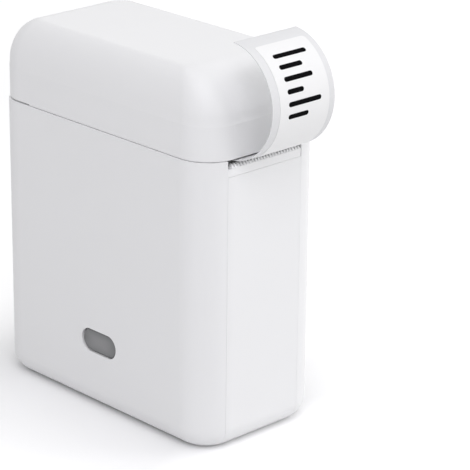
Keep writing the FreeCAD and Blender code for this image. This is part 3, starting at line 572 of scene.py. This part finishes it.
FOAM = OpenFoam("foam_black", (0.03, 0.03, 0.032), 0.95, mottle=0.3, grain_size=0.5, grain_depth=0.2)


def node_object(node: str) -> bpy.types.Object:
    """Object of a CAD node."""
    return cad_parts[node]


def dress(piece: bpy.types.Object, finish: Finish) -> None:
    """Give a piece one finish."""
    piece.data.materials.clear()
    piece.data.materials.append(made(finish))


def mesh_piece(name: str, points: list[Place], faces: Faces, finish: Finish) -> bpy.types.Object:
    """Build a closed mesh with smooth faces and sharp edges.

    Args:
        name: Name of the piece.
        points: Corners in metres.
        faces: Corner numbers of each face.
        finish: Finish of the piece.

    Returns:
        The new object.
    """
    mesh = bpy.data.meshes.new(name)
    mesh.from_pydata(points, [], faces)
    shape = bmesh.new()
    shape.from_mesh(mesh)
    bmesh.ops.recalc_face_normals(shape, faces=shape.faces)
    shape.to_mesh(mesh)
    shape.free()
    mesh.shade_smooth()
    mesh.set_sharp_from_angle(angle=SHARP_EDGE)
    piece = bpy.data.objects.new(name, mesh)
    bpy.context.scene.collection.objects.link(piece)
    dress(piece, finish)
    return piece


def sleeve_faces(rows: int, ring: int) -> Faces:
    """Faces of a closed sleeve whose rows are rings of corners, capped at both ends.

    Args:
        rows: Number of rings.
        ring: Number of corners in a ring.

    Returns:
        Corner numbers of each face.
    """
    faces = []
    for row in range(rows - 1):
        for k in range(ring):
            a = row * ring + k
            b = row * ring + (k + 1) % ring
            faces.append((a, b, b + ring, a + ring))
    faces.append(tuple(range(ring)))
    faces.append(tuple(range((rows - 1) * ring, rows * ring)))
    return faces


@dataclass
class SubAssembly:
    """Pieces that are dressed together."""

    title: str
    finishes: dict[str, Finish]

    def build(self) -> list[str]:
        """Dress the CAD nodes of the sub-assembly.

        Returns:
            Names of the dressed pieces.
        """
        for node, finish in self.finishes.items():
            dress(node_object(node), finish)
        return list(self.finishes)


@dataclass
class Housing(SubAssembly):
    """Body with its button, exit panel with the tear bar, hinge pin and the cover in the bottom."""

    title: str = "housing"
    finishes: dict[str, Finish] = field(default_factory=lambda: {
        "body_shell": SHELL,
        "front_panel": SHELL,
        "tear_bar": TEAR,
        "bottom_cover": COVER,
        "cover_screws": STEEL,
        "hinge_pin": PIN_STEEL,
        "power_button": BUTTON,
    })


@dataclass
class Lid(SubAssembly):
    """Domed lid with the platen that it carries."""

    title: str = "lid"
    finishes: dict[str, Finish] = field(default_factory=lambda: {
        "lid_shell": SHELL,
        "platen_carrier": CARRIER,
        "carrier_screws": STEEL,
        "platen_bushes": BUSH,
        "platen_shaft": PIN_STEEL,
        "platen_rubber": RUBBER,
        "platen_gear": GEAR,
    })


@dataclass
class PrintEngine(SubAssembly):
    """Print head on its leaf spring, motor and gears. Lengths are in millimetres."""

    title: str = "print engine"
    finishes: dict[str, Finish] = field(default_factory=lambda: {
        "gear_plate": STEEL,
        "gear_axles": PIN_STEEL,
        "stepper_motor": STEEL,
        "motor_screws": STEEL,
        "motor_pinion": BRASS,
        "compound_gear": GEAR,
        "idler_gear": GEAR,
        "head_bracket": STEEL,
        "head_pivot_pin": PIN_STEEL,
        "head_plate": ALUMINIUM,
        "head_ceramic": CERAMIC,
    })
    spring_thick: float = 0.3
    spring_foot_inset: float = 0.35
    spring_steps: int = 40
    spring_keep: float = 0.94

    @staticmethod
    def bow(middle: float, foot: float, top: float, half_foot: float, share: float) -> Flat:
        """Point on a round bow that stands on two feet.

        Args:
            middle: X of the middle of the bow.
            foot: Height of the feet.
            top: Height of the top.
            half_foot: Half of the distance between the feet.
            share: Share of the way from the right foot to the left foot.

        Returns:
            X and Z of the point.
        """
        rise = top - foot
        radius = (half_foot ** 2 + rise ** 2) / (2 * rise)
        start = math.asin((foot - top + radius) / radius)
        angle = start + (math.pi - 2 * start) * share
        return middle + radius * math.cos(angle), top - radius + radius * math.sin(angle)

    def spring(self) -> bpy.types.Object:
        """Bowed leaf spring under the head, built in its resting bow; it does not flatten as the head rocks
        down.

        Returns:
            The spring.
        """
        low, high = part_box("head_spring")
        middle = (low.x + high.x) / 2
        thick = self.spring_thick * MM
        radius = (high.x - low.x) / 2
        half_foot = math.sqrt(radius ** 2 - (high.z - low.z - radius) ** 2) - self.spring_foot_inset * MM
        points = []
        for i in range(self.spring_steps + 1):
            share = i / self.spring_steps
            outer = self.bow(middle, low.z, high.z, half_foot, share)
            inner = self.bow(middle, low.z, high.z - thick, half_foot - thick, share)
            for (x, z), y in ((outer, low.y), (outer, high.y), (inner, high.y), (inner, low.y)):
                points.append((x, y, z))
        piece = mesh_piece("leaf_spring", points, sleeve_faces(self.spring_steps + 1, BAND_CORNERS), STEEL)
        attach(piece, Body.BASE.value)
        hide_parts("head_spring")
        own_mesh(piece)
        return piece

    def build(self) -> list[str]:
        """Dress the engine, build its spring and name all pieces."""
        return super().build() + [self.spring().name]


@dataclass
class Electronics(SubAssembly):
    """Board, cell, socket and switch."""

    title: str = "electronics"
    finishes: dict[str, Finish] = field(default_factory=lambda: {
        "main_board": BOARD,
        "board_chips": CHIP,
        "battery": CELL,
        "battery_pad": FOAM,
        "usb_socket": STEEL,
        "push_switch": CHIP,
        "status_light": LIGHT,
        "label_sensor": CHIP,
    })


@dataclass(frozen=True)
class Run:
    """Straight or round stretch of the paper's path in X and Z, in millimetres.

    A straight run has no radius. A round run turns up where its radius is positive, and down where it is
    negative.
    """

    start: Flat
    length: float
    heading: float
    radius: float = 0.0

    def at(self, distance: float) -> tuple[Flat, Flat]:
        """Point and upper-side direction at a distance from the start of the run.

        Args:
            distance: Distance in millimetres.

        Returns:
            The point, and the unit direction square to the paper.
        """
        if not self.radius:
            along = (math.cos(self.heading), math.sin(self.heading))
            point = (self.start[0] + along[0] * distance, self.start[1] + along[1] * distance)
            return point, (-along[1], along[0])
        middle = (
            self.start[0] - math.sin(self.heading) * self.radius,
            self.start[1] + math.cos(self.heading) * self.radius,
        )
        heading = self.heading + distance / self.radius
        point = (
            middle[0] + math.sin(heading) * self.radius,
            middle[1] - math.cos(heading) * self.radius,
        )
        return point, (-math.sin(heading), math.cos(heading))


@dataclass
class PaperPath:
    """Middle of the backing strip from the roll over the guide lip and out into the curl.

    Places and lengths are in millimetres, and the turn of the curl is in radians.
    """

    roll: Flat
    roll_radius: float
    lip: Flat
    lip_radius: float
    straight_end: float
    curl_radius: float
    curl_turn: float

    def runs(self) -> list[Run]:
        """Stretches of the path in order.

        Returns:
            A straight run, the lip's bend, a straight run and the curl.
        """
        dx = self.lip[0] - self.roll[0]
        dz = self.lip[1] - self.roll[1]
        reach = math.hypot(dx, dz)
        bend = math.atan2(dz, dx) + math.acos(-(self.roll_radius + self.lip_radius) / reach)
        heading = bend - math.pi / 2
        start = (
            self.roll[0] - self.roll_radius * math.cos(bend),
            self.roll[1] - self.roll_radius * math.sin(bend),
        )
        climb = math.sqrt(reach ** 2 - (self.roll_radius + self.lip_radius) ** 2)
        rise = Run(start, climb, heading)
        over = Run(rise.at(climb)[0], self.lip_radius * heading, heading, -self.lip_radius)
        top = over.at(over.length)[0]
        level = Run(top, self.straight_end - top[0], 0.0)
        corner = level.at(level.length)[0]
        curl = Run(corner, self.curl_radius * self.curl_turn, 0.0, self.curl_radius)
        return [rise, over, level, curl]

    def length(self) -> float:
        """Whole length of the strip."""
        return sum(run.length for run in self.runs())

    def at(self, distance: float) -> tuple[Flat, Flat]:
        """Point and upper-side direction at a distance from the roll.

        Args:
            distance: Distance in millimetres.

        Returns:
            The point, and the unit direction square to the paper.
        """
        runs = self.runs()
        for run in runs[:-1]:
            if distance <= run.length:
                return run.at(distance)
            distance -= run.length
        return runs[-1].at(distance)


@dataclass(frozen=True)
class Patch:
    """Rectangle on the strip with round corners, in millimetres.

    start and end are distances along the strip, y0 and y1 are its sides, low and high its two faces.
    """

    start: float
    end: float
    y0: float
    y1: float
    low: float
    high: float
    corner: float = 0.0
    step: float = 0.5
    columns: int = 6
    corner_steps: int = 7

    def stations(self) -> list[float]:
        """Distances at which the patch has a row of corners.

        Returns:
            Distances along the strip.
        """
        inner0 = self.start + self.corner
        inner1 = self.end - self.corner
        count = max(1, round((inner1 - inner0) / self.step))
        middle = [inner0 + (inner1 - inner0) * i / count for i in range(count + 1)]
        if not self.corner:
            return middle
        if inner1 - inner0 < NEGLIGIBLE:
            middle = [inner0]
        quarter = math.pi / 2 / self.corner_steps
        bends = [self.corner * (1.0 - math.cos(quarter * i)) for i in range(self.corner_steps)]
        return [self.start + b for b in bends] + middle + [self.end - b for b in reversed(bends)]

    def inset(self, distance: float) -> float:
        """How far the sides draw in near a round corner.

        Args:
            distance: Distance along the strip.

        Returns:
            Inset of each side.
        """
        into = min(distance - self.start, self.end - distance)
        if into >= self.corner:
            return 0.0
        return self.corner - math.sqrt(max(0.0, self.corner ** 2 - (self.corner - into) ** 2))

    def mesh(self, path: PaperPath) -> tuple[list[Place], Faces]:
        """Closed mesh of the patch on the strip.

        Args:
            path: Path of the strip.

        Returns:
            Corners in metres, and faces.
        """
        points = []
        rows = self.stations()
        for distance in rows:
            (x, z), (nx, nz) = path.at(distance)
            inset = self.inset(distance)
            y0 = self.y0 + inset
            width = self.y1 - inset - y0
            ys = [y0 + width * k / self.columns for k in range(self.columns + 1)]
            for face, order in ((self.high, ys), (self.low, ys[::-1])):
                points += [((x + nx * face) * MM, y * MM, (z + nz * face) * MM) for y in order]
        return points, sleeve_faces(len(rows), 2 * (self.columns + 1))


@dataclass
class LabelStock(SubAssembly):
    """Backing strip with its label and print, and the wound roll. Lengths are in millimetres."""

    title: str = "label stock"
    finishes: dict[str, Finish] = field(default_factory=lambda: {
        "label_bay": BAY,
        "bay_screws": STEEL,
        "roll_core": CORE,
    })
    tape_thick: float = 0.18
    label_thick: float = 0.08
    label_end_margin: float = 4.2
    label_length: float = 40.0
    label_corner: float = 0.9
    print_thick: float = 0.02
    lip: Flat = (19.2, 67.43)
    lip_radius: float = 5.03
    roll_gap: float = 0.05
    straight_end: float = 35.7
    curl_radius: float = 14.1
    curl_turn: float = math.radians(175.0)
    turns: int = 24
    turn_steps: int = 72
    layer_share: float = 0.86
    core_radius: float = 10.45
    labels_per_turn: int = 4
    label_gap_turn: float = math.radians(8.0)
    bar_height: float = 1.15
    bar_pitch: float = 2.9
    bar_start: float = 8.2
    bar_lengths: tuple[float, ...] = (10.4, 7.2, 9.0, 5.2, 10.4, 6.4)
    bar_columns: int = 4

    def __post_init__(self) -> None:
        """Take the strip's sides and the roll's place from the frame."""
        low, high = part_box("label_strip")
        self.y0, self.y1 = low.y / MM, high.y / MM
        low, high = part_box("label")
        self.label_y0, self.label_y1 = low.y / MM, high.y / MM
        low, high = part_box("label_roll")
        self.roll = ((low.x + high.x) / 2 / MM, (low.z + high.z) / 2 / MM)
        self.roll_radius = (high.z - low.z) / 2 / MM
        half = self.tape_thick / 2
        self.path = PaperPath(
            self.roll, self.roll_radius + self.roll_gap + half, self.lip, self.lip_radius + half,
            self.straight_end, self.curl_radius, self.curl_turn,
        )

    def strip(self) -> bpy.types.Object:
        """Backing strip.

        Returns:
            The strip.
        """
        half = self.tape_thick / 2
        patch = Patch(0.0, self.path.length(), self.y0, self.y1, -half, half)
        piece = mesh_piece("backing_strip", *patch.mesh(self.path), BACKING)
        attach(piece, Body.BASE.value)
        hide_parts("label_strip")
        flat = (self.y1 - self.y0) * MM, self.path.length() * MM
        return piece

    def label(self) -> bpy.types.Object:
        """Label on the outer side of the strip.

        Returns:
            The label.
        """
        end = self.path.length() - self.label_end_margin
        low = -self.tape_thick / 2 - self.label_thick
        patch = Patch(
            end - self.label_length, end, self.label_y0, self.label_y1,
            low, low + self.label_thick, self.label_corner,
        )
        piece = mesh_piece("paper_label", *patch.mesh(self.path), LABEL)
        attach(piece, Body.BASE.value)
        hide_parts("label")
        return piece

    def print_bars(self) -> list[bpy.types.Object]:
        """Plain bars printed across the label.

        Returns:
            The bars.
        """
        high = -self.tape_thick / 2 - self.label_thick
        side = (self.label_y0 + self.label_y1) / 2 - max(self.bar_lengths) / 2
        bars = []
        for i, length in enumerate(self.bar_lengths):
            middle = self.path.length() - self.bar_start - i * self.bar_pitch
            patch = Patch(
                middle - self.bar_height / 2, middle + self.bar_height / 2, side, side + length,
                high - self.print_thick, high, self.bar_height / 2, columns=self.bar_columns,
            )
            bar = mesh_piece(f"print_bar_{i + 1}", *patch.mesh(self.path), INK)
            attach(bar, Body.BASE.value)
            bars.append(bar)
        return bars

    def ring(self, angle: float, inner: float, outer: float, y0: float, y1: float) -> list[Place]:
        """Four corners of the wound paper's section at an angle about the roll's axis.

        Args:
            angle: Angle in radians.
            inner: Inner radius.
            outer: Outer radius.
            y0: Near side.
            y1: Far side.

        Returns:
            Corners in metres.
        """
        corners = ((inner, y0), (outer, y0), (outer, y1), (inner, y1))
        return [
            ((self.roll[0] + r * math.cos(angle)) * MM, y * MM, (self.roll[1] + r * math.sin(angle)) * MM)
            for r, y in corners
        ]

    def turn_pitch(self) -> float:
        """Distance between the turns of the wound paper."""
        return (self.roll_radius - self.label_thick - self.core_radius) / (self.turns + 1)

    def winding(self) -> bpy.types.Object:
        """Paper wound about the core in one long spiral.

        Returns:
            The winding.
        """
        pitch = self.turn_pitch()
        finish = WoundPaper(
            "wound_paper", BACKING.colour, 0.5, mottle=0.03, grain_size=0.15, grain_depth=0.01,
            axis_x=self.roll[0], axis_z=self.roll[1], turn=pitch,
        )
        points = []
        rows = self.turns * self.turn_steps + 1
        for i in range(rows):
            inner = self.core_radius + pitch * i / self.turn_steps
            angle = 2 * math.pi * i / self.turn_steps
            points += self.ring(angle, inner, inner + pitch * self.layer_share, self.y0, self.y1)
        piece = mesh_piece("roll_winding", points, sleeve_faces(rows, BAND_CORNERS), finish)
        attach(piece, Body.ROLL.value)
        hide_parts("label_roll")
        return piece

    def outer_labels(self) -> list[bpy.types.Object]:
        """Labels on the outermost turn of the roll.

        Returns:
            The labels.
        """
        pieces = []
        share = 2 * math.pi / self.labels_per_turn
        steps = self.turn_steps // self.labels_per_turn
        pitch = self.turn_pitch()
        face = self.core_radius + pitch * (self.turns - 1 + self.layer_share)
        for k in range(self.labels_per_turn):
            points = []
            for i in range(steps + 1):
                angle = k * share + self.label_gap_turn / 2 + (share - self.label_gap_turn) * i / steps
                inner = face + pitch * angle / (2 * math.pi)
                points += self.ring(angle, inner, inner + self.label_thick, self.label_y0, self.label_y1)
            faces = sleeve_faces(steps + 1, BAND_CORNERS)
            piece = mesh_piece(f"roll_label_{k + 1}", points, faces, LABEL)
            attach(piece, Body.ROLL.value)
            pieces.append(piece)
        return pieces

    def build(self) -> list[str]:
        """Build the paper, dress the bay and name all pieces."""
        pieces = [self.strip(), self.label(), *self.print_bars(), self.winding(), *self.outer_labels()]
        return super().build() + [piece.name for piece in pieces]


@dataclass(frozen=True)
class AreaLamp:
    """Soft rectangular lamp, in metres and watts. A lamp without glare leaves no highlight."""

    name: str
    place: Place
    size: Flat
    power: float
    colour: Colour = (1.0, 1.0, 1.0)
    aim: Place = (0.0, 0.0, 0.05)
    glare: bool = True

    def build(self) -> bpy.types.Object:
        """Make the lamp.

        Returns:
            The lamp.
        """
        light = bpy.data.lights.new(self.name, "AREA")
        light.shape = "RECTANGLE"
        light.size, light.size_y = self.size
        light.energy = self.power
        light.color = self.colour
        lamp = bpy.data.objects.new(self.name, light)
        lamp.visible_glossy = self.glare
        lamp.location = self.place
        lamp.rotation_euler = (Vector(self.aim) - Vector(self.place)).to_track_quat("-Z", "Y").to_euler()
        bpy.context.scene.collection.objects.link(lamp)
        return lamp


@dataclass(frozen=True)
class ViewCamera:
    """Camera of the main view; lengths in millimetres, image measures in pixels of a square frame."""

    target: Place = (27.657, 0.0, 49.485)
    distance: float = 576.789
    azimuth: float = math.radians(46.02)
    elevation: float = math.radians(20.45)
    roll: float = math.radians(0.63)
    focal: float = 2415.672
    centre: Flat = (233.972, 233.828)
    image: float = 470.0
    sensor: float = 36.0
    near: float = 10.0

    def build(self) -> bpy.types.Object:
        """Make the camera and use it for the scene.

        Returns:
            The camera.
        """
        data = bpy.data.cameras.new("view_camera")
        data.sensor_width = self.sensor
        data.lens = self.focal / self.image * self.sensor
        data.shift_x = (self.image / 2 - self.centre[0]) / self.image
        data.shift_y = (self.centre[1] - self.image / 2) / self.image
        data.clip_start = self.near * MM
        camera = bpy.data.objects.new("view_camera", data)
        flat = math.cos(self.elevation)
        back = Vector((
            math.sin(self.azimuth) * flat,
            -math.cos(self.azimuth) * flat,
            math.sin(self.elevation),
        ))
        right = Vector((math.cos(self.azimuth), math.sin(self.azimuth), 0.0))
        up = back.cross(right)
        side = right * math.cos(self.roll) + up * math.sin(self.roll)
        top = up * math.cos(self.roll) - right * math.sin(self.roll)
        place = (Vector(self.target) + back * self.distance) * MM
        turn = Matrix((side, top, back)).transposed().to_4x4()
        camera.matrix_world = Matrix.Translation(place) @ turn
        bpy.context.scene.collection.objects.link(camera)
        bpy.context.scene.camera = camera
        return camera


def background_rays(tree: bpy.types.NodeTree) -> Socket:
    """Add the test for rays that show the background directly, in a mirror or through glass.

    Args:
        tree: Node tree that the test is added to.

    Returns:
        1 for such a ray, else 0.
    """
    path = tree.nodes.new("ShaderNodeLightPath")
    total = path.outputs["Is Camera Ray"]
    for name in ("Is Glossy Ray", "Is Transmission Ray"):
        node = tree.nodes.new("ShaderNodeMath")
        node.operation = "MAXIMUM"
        tree.links.new(total, node.inputs[0])
        tree.links.new(path.outputs[name], node.inputs[1])
        total = node.outputs[0]
    return total


@dataclass
class Studio:
    """Pale floor, soft light and the camera. Lengths of the floor are in millimetres.

    The floor is lifted towards white where it is seen: by near_lift close to the body and by far_lift far
    away, over lift_span. The lift fades out close around the foot, over shade_span, which paints shade on
    the floor there, but not beyond exit_span along X, where the label leaves, which paints light on that
    side.
    """

    floor_size: float = 4000.0
    floor_colour: Colour = (0.90, 0.90, 0.905)
    floor_mottle: float = 0.01
    floor_mottle_size: float = 40.0
    near_lift: float = 0.2
    far_lift: float = 0.6
    lift_span: Flat = (220.0, 870.0)
    foot_corner: float = 9.0
    shade_span: Flat = (4.5, 45.0)
    exit_span: Flat = (26.0, 44.0)
    sky: float = 0.45
    lamps: tuple[AreaLamp, ...] = (
        AreaLamp("top_lamp", (0.10, 0.0, 0.87), (0.7, 0.7), 1.6),
        AreaLamp("key_lamp", (0.45, -0.45, 0.75), (0.7, 0.7), 3.8, (0.965, 0.955, 1.0)),
        AreaLamp("rear_lamp", (0.38, 0.75, 0.30), (0.8, 0.8), 4.2, glare=False),
    )

    def away(self, shading: Shading) -> Socket:
        """Distance of the floor from the rectangle between the corner arcs of the body's foot.

        Args:
            shading: Node tree of the floor.

        Returns:
            The distance in metres.
        """
        low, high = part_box("body_shell")
        corner = self.foot_corner * MM
        core = ((high.x - low.x) / 2 - corner, (high.y - low.y) / 2 - corner, 0.0)
        side = shading.vector("ABSOLUTE", shading.where).outputs["Vector"]
        past = shading.vector("SUBTRACT", side, core).outputs["Vector"]
        outside = shading.vector("MAXIMUM", past).outputs["Vector"]
        return shading.vector("LENGTH", outside).outputs["Value"]

    def lift(self, shading: Shading) -> Socket:
        """How far the floor is lifted towards white.

        Args:
            shading: Node tree of the floor.

        Returns:
            Strength of the light that is added.
        """
        away = self.away(shading)
        rise = shading.ramp(away, self.lift_span, self.near_lift, self.far_lift)
        # Painted shade: the glow fades out close around the foot, and painted light keeps it on the exit
        # side.
        clear = shading.ramp(away, self.shade_span)
        lit = shading.ramp(shading.along("X"), self.exit_span)
        share = shading.math("MAXIMUM", clear, lit)
        seen = shading.math("MULTIPLY", background_rays(shading.tree), rise)
        return shading.math("MULTIPLY", seen, share)

    def floor_paper(self) -> bpy.types.Material:
        """Matt material of the floor, which keeps the object's shadow.

        Returns:
            The material with its node tree.
        """
        shading = Shading("floor_paper")
        cloud = shading.noise(self.floor_mottle_size)
        dark = scaled(self.floor_colour, 1.0 - self.floor_mottle)
        paint = shading.blend(cloud, dark, self.floor_colour)
        matt = shading.add("ShaderNodeBsdfDiffuse", {"Color": paint})
        glow = shading.add("ShaderNodeEmission", {"Strength": self.lift(shading)})
        both = shading.add("ShaderNodeAddShader")
        shading.feed(both.inputs[0], matt.outputs[0])
        shading.feed(both.inputs[1], glow.outputs[0])
        shading.feed(shading.output.inputs["Surface"], both.outputs[0])
        return shading.material

    def floor(self) -> bpy.types.Object:
        """Pale floor under the object.

        Returns:
            The floor.
        """
        half = self.floor_size * MM / 2
        mesh = bpy.data.meshes.new("floor")
        corners = [(-half, -half, 0), (half, -half, 0), (half, half, 0), (-half, half, 0)]
        mesh.from_pydata(corners, [], [(0, 1, 2, 3)])
        mesh.materials.append(self.floor_paper())
        floor = bpy.data.objects.new("floor", mesh)
        bpy.context.scene.collection.objects.link(floor)
        return floor

    def world(self) -> None:
        """Even sky that is white where it is seen."""
        world = bpy.data.worlds.new("studio")
        world.use_nodes = True
        background = world.node_tree.nodes["Background"]
        background.inputs["Color"].default_value = (1.0, 1.0, 1.0, 1.0)
        mix = world.node_tree.nodes.new("ShaderNodeMapRange")
        world.node_tree.links.new(background_rays(world.node_tree), mix.inputs["Value"])
        mix.inputs["To Min"].default_value = self.sky
        mix.inputs["To Max"].default_value = 1.0
        world.node_tree.links.new(mix.outputs["Result"], background.inputs["Strength"])
        bpy.context.scene.world = world

    def build(self) -> list[str]:
        """Set up floor, light, view and camera.

        Returns:
            Names of what was made.
        """
        names = [self.floor().name]
        names += [lamp.build().name for lamp in self.lamps]
        self.world()
        names.append(ViewCamera().build().name)
        bpy.context.scene.view_settings.view_transform = "Standard"
        return names


def main() -> None:
    """Build every sub-assembly and the studio."""
    logging.basicConfig(level=logging.INFO, format="%(name)s: %(message)s")
    for assembly in (Housing(), Lid(), PrintEngine(), Electronics(), LabelStock()):
        for piece in assembly.build():
            LOG.info("%s: %s", assembly.title, piece)
    for item in Studio().build():
        LOG.info("studio: %s", item)


if __name__ == "__main__":
    main()
